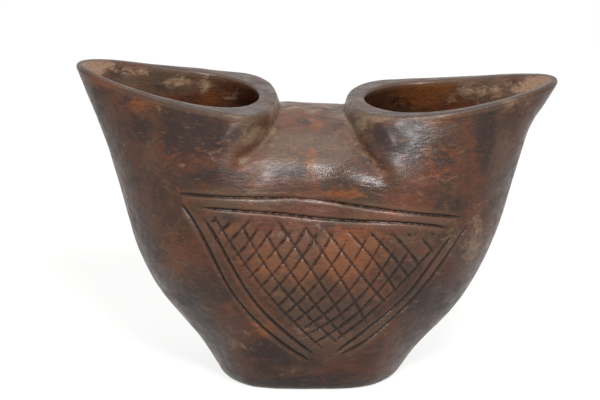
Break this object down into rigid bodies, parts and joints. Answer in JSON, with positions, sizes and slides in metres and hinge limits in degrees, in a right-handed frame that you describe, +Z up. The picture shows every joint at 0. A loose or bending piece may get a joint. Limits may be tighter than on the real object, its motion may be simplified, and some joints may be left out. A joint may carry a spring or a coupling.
{
  "type": "double-mouthed cup",
  "caption": "Carved wooden cup with two flared mouths over one shared hollow, a narrow flat foot and a cross-hatched triangle cut into its front.",
  "frame": {"origin": "under the middle of the cup, on the surface that it stands on", "axes": "+X from the left mouth to the right mouth, +Y to the back, +Z up; the carved triangle faces -Y"},
  "size_m": [0.1291, 0.059, 0.0866],
  "materials": {
    "carved_wood": "hand-rubbed dark hardwood, satin, with dust in the cuts"
  },
  "bodies": {
    "root": {"cup": "carved_wood"}
  },
  "joints": []
}
